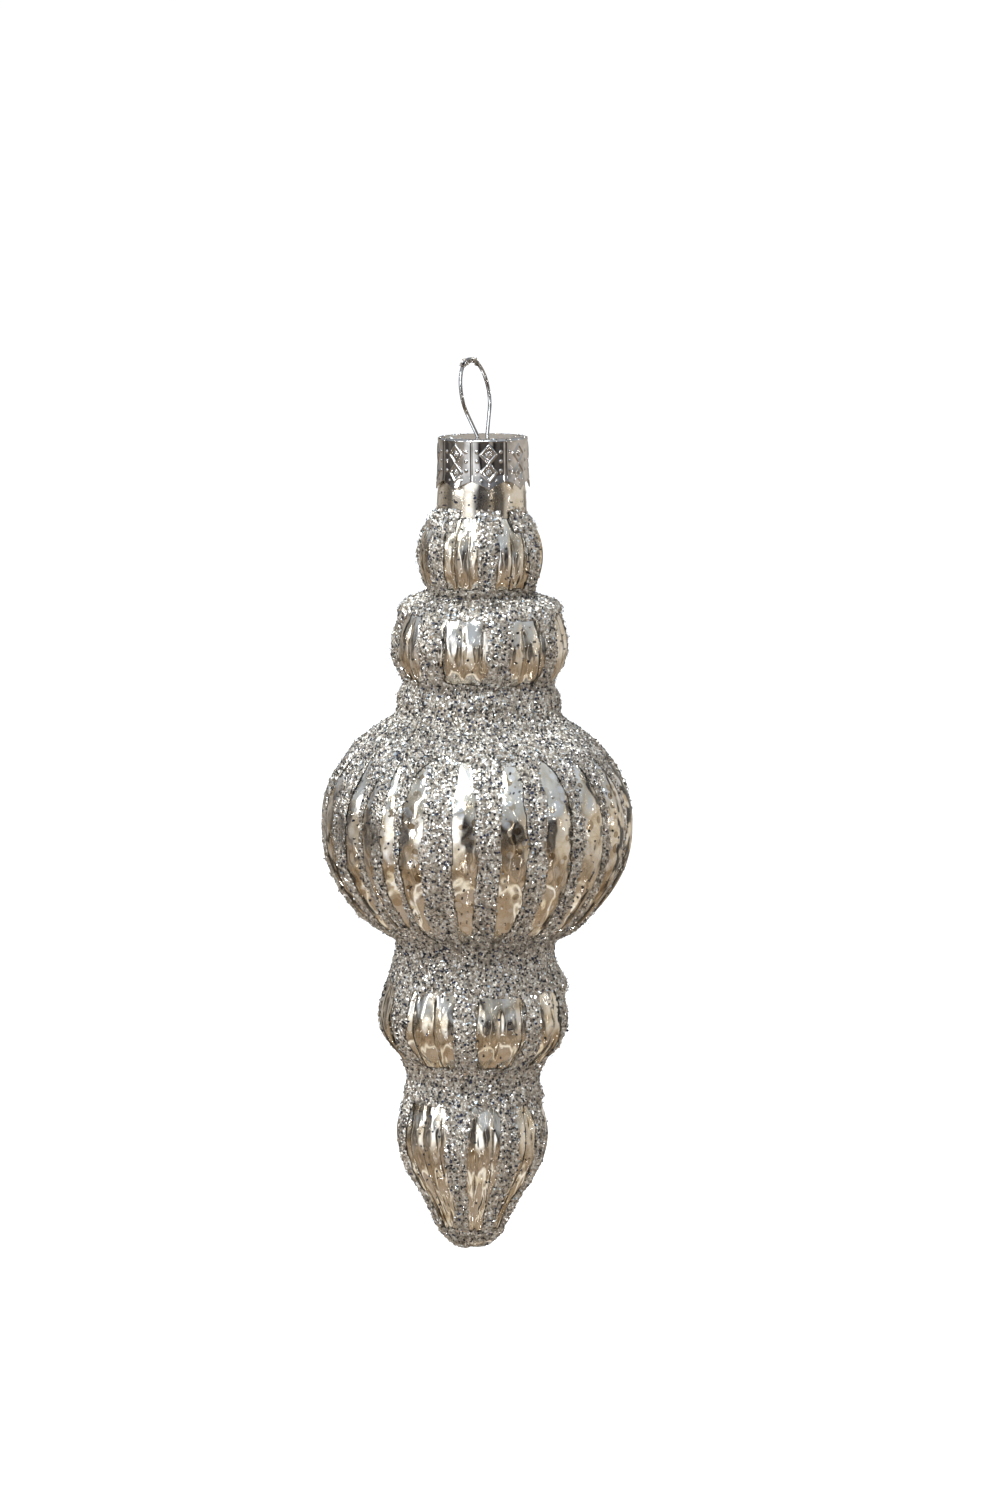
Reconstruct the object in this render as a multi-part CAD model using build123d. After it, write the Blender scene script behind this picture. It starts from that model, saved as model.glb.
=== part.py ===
from build123d import *
from collections import namedtuple
from math import asin, atan2, cos, degrees, hypot, pi, radians, sin, sqrt
import os

# Hanging icicle ornament: a blown glass body of stacked ribbed beads, silvered inside and banded
# with glitter outside, held by a pressed metal cap and a spring-wire hanger.
# Millimetres. Every piece is drawn about the centre of the cap's flat top, with the glass below
# it, and is then moved so that the origin is where a hook bears inside the top of the wire loop.

os.makedirs("parts", exist_ok=True)

# Wire hanger
WIRE_R = 0.3
LOOP_R = 5.25           # centre line of the round top of the loop
LOOP_TOP = 12.05        # centre line above the cap's top
LEG_X = 1.75            # the two legs pass the cap this far either side of its centre
LEG_REACH = 4.6         # how far the sprung legs spread inside the neck
LEG_DEPTH = 10.5        # below the cap's top
LEG_BEND_R = 1.4
LEG_CURL_R = 0.6        # the legs turn in again at their ends
LOOP_LEAN = 12.0        # degrees, the loop leans towards +Y

# Metal cap
SHEET = 0.25
CAP_R = 7.0             # outside, at the top
CAP_FLARE_R = 7.42      # outside, at the skirt's points
CAP_POINT_Z = -8.0
CAP_ARCH_Z = -6.5
CAP_EDGE_R = 0.5
MOTIFS = 8              # stamped motifs round the skirt, one over each point
HOLE_R = 0.5
HOLE_X = LEG_X + 0.1    # the wire bends outwards as it passes the hole
DIAMOND_Z = (-2.35, -5.15)
DIAMOND_HALF_W = 1.15
DIAMOND_HALF_H = 1.35
DIAMOND_BAR = 0.3
STUD_R = 0.34           # the round boss in the middle of a diamond
DOT_R = 0.25
DOT_Z = (-1.95, -3.4, -4.85)
DOT_ANGLE = 15.5        # degrees either side of a motif's middle
EMBOSS = 0.15           # how far a diamond's bars stand out

# Glass
MOUTH_Z = -0.3
BORE_R = 5.9
NECK_END_Z = -12.0
WALL = 1.15
CAVITY_STEPS = 11       # straight stretches down the inside of each bead
GLASS_LEVELS = 2        # sections of the glass for each section of a glitter stripe
FRONT = 207.0           # degrees about Z from +X, the meridian that the stripes are counted from
CREST = FRONT - 5.0     # a rib's crest on every bead
MOTIF = FRONT + 8.0     # one of the cap's stamped motifs

# Coats, drawn thicker than they are so that they stay solid
GAP = 0.11
SILVER = 0.10
GLITTER = 0.42
GLITTER_EDGE = 0.3      # fraction of the thickness left at a stripe's edges
BAND_GAP = 0.012        # between a stripe's end and a full band, as a fraction of the outline
SHOULDER_SPANS = ((-80, -28), (-6, 24), (38, 72), (105, 150), (175, 215), (235, 262))
TIP_SPAN = (16, 344)    # the rest is a bare window in the tip's coat

# Each bead runs from one waist to the next. outline holds (radius, z) of its crests, ribbed says
# which stretch of the outline carries ribs, and stripes lists the glitter stripes by their middle
# angle from FRONT. A stripe is middle_half degrees either side of that at its narrowest, taking the
# listed values in turn, and end_half at both ends.
Bead = namedtuple("Bead", "name outline ribs depth ribbed levels stripes middle_half end_half")

BEADS = (
    Bead("bead_1",
         ((7.1, -12.0), (8.2, -13.5), (9.15, -15.4), (9.65, -18.7), (9.1, -21.6), (7.8, -24.4)),
         24, 0.5, (0.14, 0.9), 10,
         (-48, 7, 62, 114, 163, 212, 262), (9,), 10),
    Bead("bead_2",
         ((7.8, -24.4), (9.3, -24.95), (11.2, -26.0), (12.8, -28.7), (13.55, -32.3),
          (12.9, -35.6), (11.2, -38.1)),
         24, 0.6, (0.31, 0.95), 12,
         (-77, -37, 13, 57, 102, 146, 190, 236), (8,), 9),
    Bead("bulb",
         ((11.2, -38.1), (11.9, -40.4), (12.2, -42.6), (15.5, -45.6), (20.4, -50.0),
          (23.5, -55.2), (24.25, -60.8), (23.2, -66.6), (19.9, -72.2), (15.0, -76.6),
          (12.1, -78.6), (11.9, -80.2)),
         20, 1.0, (0.25, 0.93), 16,
         tuple(4.5 + 18 * k for k in range(20)),
         (4.5, 3.5, 2.3, 2.2, 2.6, 4, 5, 3.5, 4.5, 5, 3.5, 4.5, 5, 4, 4.5, 3.5, 2.4, 2, 2, 5.5), 8.2),
    Bead("bead_3",
         ((11.9, -80.2), (12.7, -83.2), (13.7, -86.2), (14.7, -90.2), (13.3, -94.8),
          (10.6, -98.0), (9.9, -100.3)),
         24, 0.6, (0.25, 0.85), 12,
         (-54, -6, 41, 76, 122, 170, 217, 262), (7,), 8),
    Bead("drop",
         ((9.9, -100.3), (10.4, -103.0), (11.75, -107.6), (11.5, -111.6), (9.6, -116.0),
          (6.9, -120.2), (5.2, -123.6), (3.4, -125.9), (0.9, -127.1)),
         24, 0.5, (0.1, 0.66), 14,
         (-70, -12, 30, 66, 112, 160, 205, 248), (8,), 11),
)

HOOK_POINT = Vector(0, (LOOP_TOP - WIRE_R) * sin(radians(LOOP_LEAN)),
                    (LOOP_TOP - WIRE_R) * cos(radians(LOOP_LEAN)))


def spaced(start, end, steps):
    return [start + (end - start) * k / steps for k in range(steps + 1)]


def write(shape, node):
    """Move the piece to the hook's frame and write it."""
    export_step(shape.moved(Location(-HOOK_POINT)), f"parts/{node}.step")


def meridian(bead):
    return Spline(*[(r, 0, z) for r, z in bead.outline])


def along(curve, u, offset=0.0):
    """Radius and height at the fraction u of the outline, moved out along its normal."""
    p = curve.position_at(u)
    t = curve.tangent_at(u)
    return p.X - t.Z * offset, p.Z + t.X * offset


def furrow_depth(bead, u):
    """Depth of the furrows between the ribs, which fade out towards both waists."""
    start, end = bead.ribbed
    if not start < u < end:
        return 0.0
    return bead.depth * min(1.0, 1.5 * sin(pi * (u - start) / (end - start)))


def on_circle(r, angle, z):
    return Vector(r * cos(radians(angle)), r * sin(radians(angle)), z)


def ribbed_section(bead, curve, u):
    """A level outline of the bead: one round arc per rib, furrow to furrow."""
    r, z = along(curve, u)
    furrow_r = r - furrow_depth(bead, u)
    pitch = 360.0 / bead.ribs
    arcs = []
    for k in range(bead.ribs):
        crest = CREST + k * pitch
        arcs.append(Edge.make_three_point_arc(on_circle(furrow_r, crest - pitch / 2, z),
                                              on_circle(r, crest, z),
                                              on_circle(furrow_r, crest + pitch / 2, z)))
    return Wire(arcs)


def glass_radius(bead, u, r, angle):
    """Radius of the ribbed glass at an angle about Z, on the same arcs as ribbed_section."""
    furrow_r = r - furrow_depth(bead, u)
    half = pi / bead.ribs
    centre = (r * r - furrow_r * furrow_r) / (2 * (r - furrow_r * cos(half)))
    from_crest = (radians(angle - CREST) + half) % (2 * half) - half
    arc_r = r - centre
    return centre * cos(from_crest) + sqrt(arc_r ** 2 - (centre * sin(from_crest)) ** 2)


def cavity_outline(wall):
    """Radius and height down the inside of the glass, from below the neck to the bottom."""
    points = []
    for bead in BEADS:
        curve = meridian(bead)
        points += [along(curve, u, -wall) for u in spaced(0.08, 0.92, CAVITY_STEPS)]
        waist_r, waist_z = bead.outline[-1]
        points.append((waist_r - wall, waist_z))
    return [p for p in points if p[0] > 0.8]


def turned(points):
    """A solid of revolution about Z from a closed outline of (radius, z) points."""
    face = Face(Wire.make_polygon([Vector(r, 0, z) for r, z in points], close=True))
    return Solid.revolve(face, 360, Axis.Z)


def cavity(wall, bore):
    inside = cavity_outline(wall)
    bottom = BEADS[-1].outline[-1][1] + wall
    return turned([(0, 1), (bore, 1), (bore, NECK_END_Z - 0.5), *inside, (0, bottom)])


def glass_bead(bead, hollow):
    curve = meridian(bead)
    levels = spaced(0, 1, GLASS_LEVELS * bead.levels)
    return Solid.make_loft([ribbed_section(bead, curve, u) for u in levels]) - hollow


def glass_neck():
    start = BEADS[0].outline[0]
    return turned([(BORE_R, MOUTH_Z), (6.45, MOUTH_Z), (6.6, MOUTH_Z - 0.4), (6.62, -7.0),
                   (6.85, -8.6), (6.95, -11.0), start, (BORE_R, NECK_END_Z)])


def silver_lining():
    """The mirror coat inside the glass, from the mouth to the bottom."""
    outer = WALL + GAP
    inner = outer + SILVER
    bottom = BEADS[-1].outline[-1][1]
    wall = [(BORE_R - GAP, MOUTH_Z), (BORE_R - GAP, NECK_END_Z - 0.5), *cavity_outline(outer),
            (0, bottom + outer)]
    face = [(BORE_R - GAP - SILVER, MOUTH_Z), (BORE_R - GAP - SILVER, NECK_END_Z - 0.5),
            *cavity_outline(inner), (0, bottom + inner)]
    return turned(wall + face[::-1])


def stripe_section(bead, curve, u, middle, half):
    """A thin closed outline that hugs the ribbed glass, thinning at its two edges."""
    r, z = along(curve, u)
    count = 8
    inner, outer = [], []
    for k in range(count + 1):
        side = 2 * k / count - 1
        angle = FRONT + middle + half * side
        glass = glass_radius(bead, u, r, angle)
        thick = GLITTER * (1 - (1 - GLITTER_EDGE) * side ** 4)
        inner.append(on_circle(glass + GAP, angle, z))
        outer.append(on_circle(glass + GAP + thick, angle, z))
    return Wire([Edge.make_spline(inner), Edge.make_line(inner[-1], outer[-1]),
                 Edge.make_spline(outer[::-1]), Edge.make_line(outer[0], inner[0])])


def glitter_stripes(bead):
    curve = meridian(bead)
    start, end = bead.ribbed
    stripes = []
    for number, middle in enumerate(bead.stripes):
        narrow = bead.middle_half[number % len(bead.middle_half)]
        sections = []
        for k in range(bead.levels + 1):
            place = k / bead.levels
            u = start + (end - start) * place
            half = narrow + (bead.end_half - narrow) * (2 * place - 1) ** 4
            sections.append(stripe_section(bead, curve, u, middle, half))
        stripes.append(Solid.make_loft(sections))
    return Compound(stripes)


def glitter_ring(above, below):
    """The full band of glitter over a waist, from the ribs above to the ribs below."""
    upper, lower = meridian(above), meridian(below)
    from_above = spaced(above.ribbed[1] + BAND_GAP, 0.98, 5)
    to_below = spaced(0.03, below.ribbed[0] - BAND_GAP, 12)
    waist_r, waist_z = below.outline[0]
    inner = [along(upper, u, GAP) for u in from_above]
    inner.append((waist_r + 2 * GAP, waist_z))
    inner += [along(lower, u, GAP) for u in to_below]
    outer = [along(upper, u, GAP + GLITTER) for u in from_above[:-1]]
    outer.append((waist_r + 2 * GLITTER, waist_z + GLITTER))
    outer += [along(lower, u, GAP + GLITTER) for u in to_below[2:]]
    return turned(inner + outer[::-1])


def arc_patches(points, spans):
    """One closed outline of (radius, z) points, turned through several spans of angle."""
    face = Face(Wire.make_polygon([Vector(r, 0, z) for r, z in points], close=True))
    patches = []
    for start, end in spans:
        patch = Solid.revolve(face, end - start, Axis.Z)
        patches.append(patch.rotate(Axis.Z, FRONT + start))
    return patches


def glitter_shoulder():
    """Clumps of glitter where the neck meets the first bead."""
    bead = BEADS[0]
    curve = meridian(bead)
    neck_r = bead.outline[0][0]
    neck = [(neck_r, NECK_END_Z + 1.1), (neck_r + GAP, NECK_END_Z)]
    levels = spaced(0.03, bead.ribbed[0] - BAND_GAP, 3)
    inner = neck + [along(curve, u, GAP) for u in levels]
    outer = [(neck_r + GLITTER, NECK_END_Z + 0.9)]
    outer += [along(curve, u, GAP + GLITTER) for u in levels]
    return Compound(arc_patches(inner + outer[::-1], SHOULDER_SPANS))


def glitter_tip():
    """The coat round the point, open at one bare window."""
    bead = BEADS[-1]
    curve = meridian(bead)
    levels = spaced(bead.ribbed[1] + BAND_GAP, 0.96, 8)
    inner = [along(curve, u, GAP) for u in levels]
    outer = [along(curve, u, GAP + GLITTER) for u in levels]
    return arc_patches(inner + outer[::-1], [TIP_SPAN])[0]


def cap_shell():
    """The drawn cup before stamping: a flat top, a round edge and a skirt that flares."""
    edge = CAP_EDGE_R
    bend = edge * (1 - sqrt(0.5))
    low = CAP_R - SHEET
    inner_edge = edge - SHEET
    inner_bend = SHEET + inner_edge * (1 - sqrt(0.5))
    flare_z = CAP_ARCH_Z + 1.0
    outline = [
        Edge.make_line((0, 0, 0), (CAP_R - edge, 0, 0)),
        Edge.make_three_point_arc((CAP_R - edge, 0, 0), (CAP_R - bend, 0, -bend),
                                  (CAP_R, 0, -edge)),
        Edge.make_line((CAP_R, 0, -edge), (CAP_R, 0, flare_z)),
        Edge.make_line((CAP_R, 0, flare_z), (CAP_FLARE_R, 0, CAP_POINT_Z)),
        Edge.make_line((CAP_FLARE_R, 0, CAP_POINT_Z), (CAP_FLARE_R - SHEET, 0, CAP_POINT_Z)),
        Edge.make_line((CAP_FLARE_R - SHEET, 0, CAP_POINT_Z), (low, 0, flare_z)),
        Edge.make_line((low, 0, flare_z), (low, 0, -edge)),
        Edge.make_three_point_arc((low, 0, -edge), (CAP_R - inner_bend, 0, -inner_bend),
                                  (CAP_R - edge, 0, -SHEET)),
        Edge.make_line((CAP_R - edge, 0, -SHEET), (0, 0, -SHEET)),
        Edge.make_line((0, 0, -SHEET), (0, 0, 0)),
    ]
    return Solid.revolve(Face(Wire(outline)), 360, Axis.Z).rotate(Axis.Z, MOTIF + 180.0 / MOTIFS)


def diamond(z):
    """A raised diamond outline with a round boss in it, on the skirt at the angle 0."""
    plane = Plane(origin=(CAP_R - SHEET / 2, 0, z), x_dir=(0, 1, 0), z_dir=(1, 0, 0))
    corners = [(DIAMOND_HALF_W, 0), (0, DIAMOND_HALF_H), (-DIAMOND_HALF_W, 0), (0, -DIAMOND_HALF_H)]
    shrink = 1 - 1.6 * DIAMOND_BAR / DIAMOND_HALF_W
    outer = Polygon(*corners, align=None)
    inner = Polygon(*[(x * shrink, y * shrink) for x, y in corners], align=None)
    bars = extrude(plane * (outer - inner), SHEET / 2 + EMBOSS)
    boss = Pos(CAP_R - 0.1, 0, z) * Sphere(STUD_R)
    return [bars, boss - Cylinder(CAP_R - SHEET / 2, 40)]


def stamping():
    """One motif: two stacked diamonds between two columns of dots."""
    pieces = []
    for z in DIAMOND_Z:
        pieces += diamond(z)
    for side in (-DOT_ANGLE, DOT_ANGLE):
        for z in DOT_Z:
            pieces.append(Pos(on_circle(CAP_R, side, z)) * Sphere(DOT_R))
    return pieces


def cap():
    shell = cap_shell()
    half_gap = pi * CAP_FLARE_R / MOTIFS * 0.94
    rise = CAP_ARCH_Z - CAP_POINT_Z
    arch_r = (half_gap ** 2 + rise ** 2) / (2 * rise)
    arch = Cylinder(arch_r, 40, rotation=(0, 90, 0)).moved(Pos(0, 0, CAP_ARCH_Z - arch_r))
    step = 360.0 / MOTIFS
    cuts = [arch.rotate(Axis.Z, MOTIF + (k + 0.5) * step) for k in range(MOTIFS // 2)]
    cuts += [Pos(x, 0, 0) * Cylinder(HOLE_R, 2) for x in (-HOLE_X, HOLE_X)]
    motif = stamping()
    stamped = [p.rotate(Axis.Z, MOTIF + k * step) for k in range(MOTIFS) for p in motif]
    return shell.cut(*cuts).fuse(*stamped)


def hanger():
    """The loop, its two legs through the cap and the legs' sprung ends inside the neck."""
    centre_z = LOOP_TOP - LOOP_R
    reach = hypot(LEG_X, centre_z)
    lean = asin(LOOP_R / reach) - atan2(LEG_X, centre_z)
    touch_x = LOOP_R * cos(lean)
    touch_z = centre_z - LOOP_R * sin(lean)
    side = [(touch_x, touch_z), (LEG_X, 0), (LEG_X + 0.25, -2.0), (LEG_REACH, -LEG_DEPTH + 1.2),
            (LEG_REACH - 0.5, -LEG_DEPTH)]
    bends = [LEG_BEND_R, LEG_BEND_R, LEG_CURL_R]
    right = FilletPolyline(*[(x, 0, z) for x, z in side], radius=bends)
    left = mirror(right, Plane.YZ)
    top = ThreePointArc((touch_x, 0, touch_z), (0, 0, LOOP_TOP), (-touch_x, 0, touch_z))
    route = Wire(left.edges() + [top] + right.edges())
    end = right @ 1
    circle = Plane(origin=end, z_dir=right % 1) * Circle(WIRE_R)
    wire = sweep(circle, path=route)
    return wire.rotate(Axis.X, -LOOP_LEAN)


if __name__ == "__main__":
    hollow = cavity(WALL, BORE_R)
    write(glass_neck(), "glass_neck")
    for bead in BEADS:
        write(glass_bead(bead, hollow), f"glass_{bead.name}")
        write(glitter_stripes(bead), f"glitter_stripes_{bead.name}")
    write(silver_lining(), "silver_lining")
    for number, (above, below) in enumerate(zip(BEADS, BEADS[1:]), start=1):
        write(glitter_ring(above, below), f"glitter_ring_{number}")
    write(glitter_shoulder(), "glitter_shoulder")
    write(glitter_tip(), "glitter_tip")
    write(cap(), "cap")
    write(hanger(), "hanger_wire")
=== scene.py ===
import bpy
import math
import numpy as np
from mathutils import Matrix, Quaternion, Vector


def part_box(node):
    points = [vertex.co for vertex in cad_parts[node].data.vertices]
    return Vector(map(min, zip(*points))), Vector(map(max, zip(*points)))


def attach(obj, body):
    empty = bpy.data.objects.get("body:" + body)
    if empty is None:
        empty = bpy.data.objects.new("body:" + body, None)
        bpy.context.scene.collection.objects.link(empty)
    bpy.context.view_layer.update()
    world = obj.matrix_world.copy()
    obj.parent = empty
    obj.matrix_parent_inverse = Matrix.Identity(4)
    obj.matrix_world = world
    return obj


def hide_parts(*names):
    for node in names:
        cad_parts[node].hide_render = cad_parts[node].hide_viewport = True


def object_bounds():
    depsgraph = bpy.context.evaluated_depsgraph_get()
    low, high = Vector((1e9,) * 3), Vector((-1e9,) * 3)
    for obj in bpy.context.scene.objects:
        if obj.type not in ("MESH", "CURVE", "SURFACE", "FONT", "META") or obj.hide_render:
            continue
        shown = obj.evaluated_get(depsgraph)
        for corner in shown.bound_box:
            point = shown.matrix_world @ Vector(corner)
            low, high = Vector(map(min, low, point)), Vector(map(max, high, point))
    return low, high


# The hanging icicle ornament's looks: ribbed glass over an antiqued mirror coat, glitter laid as
# a rough crust with loose flakes on it, a stamped cap and a wire loop.

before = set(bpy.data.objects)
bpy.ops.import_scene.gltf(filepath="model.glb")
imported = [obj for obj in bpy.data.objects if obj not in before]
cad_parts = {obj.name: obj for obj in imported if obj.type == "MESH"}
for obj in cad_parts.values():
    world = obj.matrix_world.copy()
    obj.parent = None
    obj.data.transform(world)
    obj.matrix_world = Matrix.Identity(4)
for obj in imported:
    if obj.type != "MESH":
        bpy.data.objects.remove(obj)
bounds_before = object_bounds()

MM = 0.001
MARGIN = 0.02           # mm that every point stays inside the CAD model's box
cap_low, cap_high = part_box("cap")
# the middle of the cap's top, which outlines and heights in mm are measured from
TOP = np.array([(cap_low.x + cap_high.x) / 2, (cap_low.y + cap_high.y) / 2, cap_high.z])
LOWEST = np.array(bounds_before[0])
HIGHEST = np.array(bounds_before[1])

# Angles are in degrees about Z from +X. FRONT is the meridian that the stripes are counted from,
# CREST is a rib's crest on every bead, and MOTIF is the middle of one of the cap's stamped motifs.
FRONT = 207.0
CREST = FRONT - 5.0
MOTIF = FRONT + 8.0
LEAN = math.radians(12.0)
CAMERA_AZIMUTH = -63.0

# Each bead has its ribs and their furrows' depth in mm, the stretch of the outline that carries ribs,
# the outline as (radius, z) in mm, and the glitter stripes' middles in degrees from FRONT, with their
# half widths in degrees: half at the middles, taken in turn, and end_half at the ends.
BEADS = (
    dict(name="bead_1", ribs=24, depth=0.5, ribbed=(0.14, 0.9),
         outline=((7.1, -12.0), (8.2, -13.5), (9.15, -15.4), (9.65, -18.7), (9.1, -21.6),
                  (7.8, -24.4)),
         stripes=(-48, 7, 62, 114, 163, 212, 262), half=(9,), end_half=10),
    dict(name="bead_2", ribs=24, depth=0.6, ribbed=(0.31, 0.95),
         outline=((7.8, -24.4), (9.3, -24.95), (11.2, -26.0), (12.8, -28.7), (13.55, -32.3),
                  (12.9, -35.6), (11.2, -38.1)),
         stripes=(-77, -37, 13, 57, 102, 146, 190, 236), half=(8,), end_half=9),
    dict(name="bulb", ribs=20, depth=1.0, ribbed=(0.25, 0.93),
         outline=((11.2, -38.1), (11.9, -40.4), (12.2, -42.6), (15.5, -45.6), (20.4, -50.0),
                  (23.5, -55.2), (24.25, -60.8), (23.2, -66.6), (19.9, -72.2), (15.0, -76.6),
                  (12.1, -78.6), (11.9, -80.2)),
         stripes=(4.5, 23.5, 41.5, 58, 74.5, *(94.5 + 18 * k for k in range(10)), -85.5, -67.5,
                  -49.5, -31.5, -15.0),
         half=(4.5, 3.5, 2.2, 2.0, 2.5, 4, 5, 3.5, 4.5, 5, 3.5, 4.5, 5, 4, 4.5, 3.5, 1.6, 1.0,
               0.9, 5.5), end_half=8.2),
    dict(name="bead_3", ribs=24, depth=0.6, ribbed=(0.25, 0.85),
         outline=((11.9, -80.2), (12.7, -83.2), (13.7, -86.2), (14.7, -90.2), (13.3, -94.8),
                  (10.6, -98.0), (9.9, -100.3)),
         stripes=(-54, -6, 41, 76, 122, 170, 217, 262), half=(7,), end_half=8),
    dict(name="drop", ribs=24, depth=0.5, ribbed=(0.1, 0.66),
         outline=((9.9, -100.3), (10.4, -103.0), (11.75, -107.6), (11.5, -111.6), (9.6, -116.0),
                  (6.9, -120.2), (5.2, -123.6), (3.4, -125.8), (1.3, -126.9), (0.04, -127.1)),
         stripes=(-70, -12, 30, 66, 112, 160, 205, 248), half=(8,), end_half=11),
)


def rng(seed):
    return np.random.default_rng(seed)


# ---------------------------------------------------------------- meshes

def inside_part(verts):
    """The points drawn in, where they would leave the CAD model's box."""
    widest = min((HIGHEST - TOP)[:2].min(), (TOP - LOWEST)[:2].min()) / MM - MARGIN
    shrink = np.minimum(1, widest / np.maximum(np.hypot(verts[:, 0], verts[:, 1]), 1e-6))
    low, high = (LOWEST[2] - TOP[2]) / MM + MARGIN, (HIGHEST[2] - TOP[2]) / MM - MARGIN
    return np.stack([verts[:, 0] * shrink, verts[:, 1] * shrink,
                     np.clip(verts[:, 2], low, high)], 1)


def add_mesh(name, verts, faces_flat, starts, totals, material, body, slot, smooth=True,
             replaces=()):
    """One object from numpy arrays, in millimetres from the middle of the cap's top."""
    me = bpy.data.meshes.new(name)
    me.vertices.add(len(verts))
    me.vertices.foreach_set("co", (inside_part(verts) * MM + TOP).astype(np.float32).ravel())
    me.loops.add(len(faces_flat))
    me.loops.foreach_set("vertex_index", faces_flat.astype(np.int32))
    me.polygons.add(len(starts))
    me.polygons.foreach_set("loop_start", starts.astype(np.int32))
    me.polygons.foreach_set("loop_total", totals.astype(np.int32))
    me.polygons.foreach_set("use_smooth", np.full(len(starts), smooth))
    me.update(calc_edges=True)
    me.materials.append(material)
    obj = bpy.data.objects.new(name, me)
    bpy.context.collection.objects.link(obj)
    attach(obj, body)
    if replaces:
        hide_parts(*replaces)


def grid_quads(rows, cols, closed):
    """Quads of a grid of rows by cols points, joined round when closed."""
    row, col = np.meshgrid(np.arange(rows - 1), np.arange(cols if closed else cols - 1),
                           indexing="ij")
    after = (col + 1) % cols
    return np.stack([row * cols + col, (row + 1) * cols + col,
                     (row + 1) * cols + after, row * cols + after], -1).reshape(-1, 4)


def add_quads(name, verts, quads, *args, **kwargs):
    count = len(quads)
    add_mesh(name, verts, quads.ravel(), np.arange(count) * 4, np.full(count, 4), *args, **kwargs)


# ---------------------------------------------------------------- outlines

OUTLINE_POINTS = 400
SPLINE_POINTS = 4000


def spline_through(points):
    """A natural cubic spline through the points: evenly spaced points along it, and its length."""
    p = np.array(points, float)
    t = np.concatenate([[0], np.cumsum(np.hypot(*np.diff(p, axis=0).T))])
    n = len(t)
    h = np.diff(t)
    a = np.zeros((n, n))
    b = np.zeros((n, 2))
    a[0, 0] = a[-1, -1] = 1
    for i in range(1, n - 1):
        a[i, i - 1:i + 2] = h[i - 1], 2 * (h[i - 1] + h[i]), h[i]
        b[i] = 6 * ((p[i + 1] - p[i]) / h[i] - (p[i] - p[i - 1]) / h[i - 1])
    m = np.linalg.solve(a, b)
    u = np.linspace(0, t[-1], SPLINE_POINTS)
    k = np.clip(np.searchsorted(t, u) - 1, 0, n - 2)
    w, v = (u - t[k])[:, None], (t[k + 1] - u)[:, None]
    hk = h[k][:, None]
    q = (m[k] * v ** 3 + m[k + 1] * w ** 3) / (6 * hk) + (p[k] / hk - m[k] * hk / 6) * v \
        + (p[k + 1] / hk - m[k + 1] * hk / 6) * w
    s = np.concatenate([[0], np.cumsum(np.hypot(*np.diff(q, axis=0).T))])
    even = np.linspace(0, s[-1], OUTLINE_POINTS)
    return np.stack([np.interp(even, s, q[:, 0]), np.interp(even, s, q[:, 1])], 1), s[-1]


for bead in BEADS:
    line, length = spline_through(bead["outline"])
    tangent = np.gradient(line, axis=0)
    tangent /= np.linalg.norm(tangent, axis=1)[:, None]
    bead["line"], bead["length"] = line, length
    bead["normal"] = np.stack([-tangent[:, 1], tangent[:, 0]], 1)


def look_up(bead, key, u):
    """The outline's points or normals at the fractions u of its length."""
    x = np.linspace(0, 1, len(bead[key]))
    return np.interp(u, x, bead[key][:, 0]), np.interp(u, x, bead[key][:, 1])


def waves(seed, count, size):
    """A smooth seeded field of (angle in degrees, z in mm), mostly -1.5 to 1.5, closed all round."""
    r = rng(seed)
    turns = r.integers(1, max(2, int(180 / size)), count)
    along = r.normal(0, 1.0, count) * 3.0 / size
    phase = r.uniform(0, 2 * math.pi, count)

    def field(angle, z):
        total = np.zeros(np.broadcast(angle, z).shape)
        for t, a, p in zip(turns, along, phase):
            total += np.sin(t * np.radians(angle) + a * z + p)
        return total / math.sqrt(count)
    return field


RIB_DRIFT = waves(5, 6, 20)
RIB_WANDER = 0.06       # how far a rib strays sideways, as a fraction of its width
FURROW_SOFTNESS = 0.004
BLOWN = waves(6, 14, 6)
BLOWN_HEIGHT = 0.02
BLOWN_FINE = waves(7, 40, 1.6)
BLOWN_BROAD = waves(8, 26, 3.6)
FINE_HEIGHT, BROAD_HEIGHT = 0.016, 0.045


def furrow(bead, u, angle):
    """How far the glass lies under its crests."""
    start, end = bead["ribbed"]
    inside = np.clip((u - start) / (end - start), 0, 1)
    fade = np.clip(1.5 * np.sin(math.pi * inside), 0, 1)
    half = 180.0 / bead["ribs"]
    shift = RIB_WANDER * half * 2 * RIB_DRIFT(angle, u * bead["length"])
    from_crest = np.abs((angle - CREST + shift + half) % (2 * half) - half) / half
    soft = np.sqrt((1 - from_crest) ** 2 + FURROW_SOFTNESS)
    return bead["depth"] * fade * (1 - soft) ** 2.0


def surface(bead, u, angle, offset=0.0, rib_share=1.0):
    """Points on the ribbed glass, moved out by offset along the outline's normal, in mm."""
    r, z = look_up(bead, "line", u)
    nr, nz = look_up(bead, "normal", u)
    out = offset - rib_share * furrow(bead, u, angle) + BLOWN_HEIGHT * BLOWN(angle, z)
    radius, height = r + nr * out, z + nz * out
    a = np.radians(angle)
    return np.stack([radius * np.cos(a), radius * np.sin(a), height], -1)


# ---------------------------------------------------------------- where the glitter lies

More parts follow.
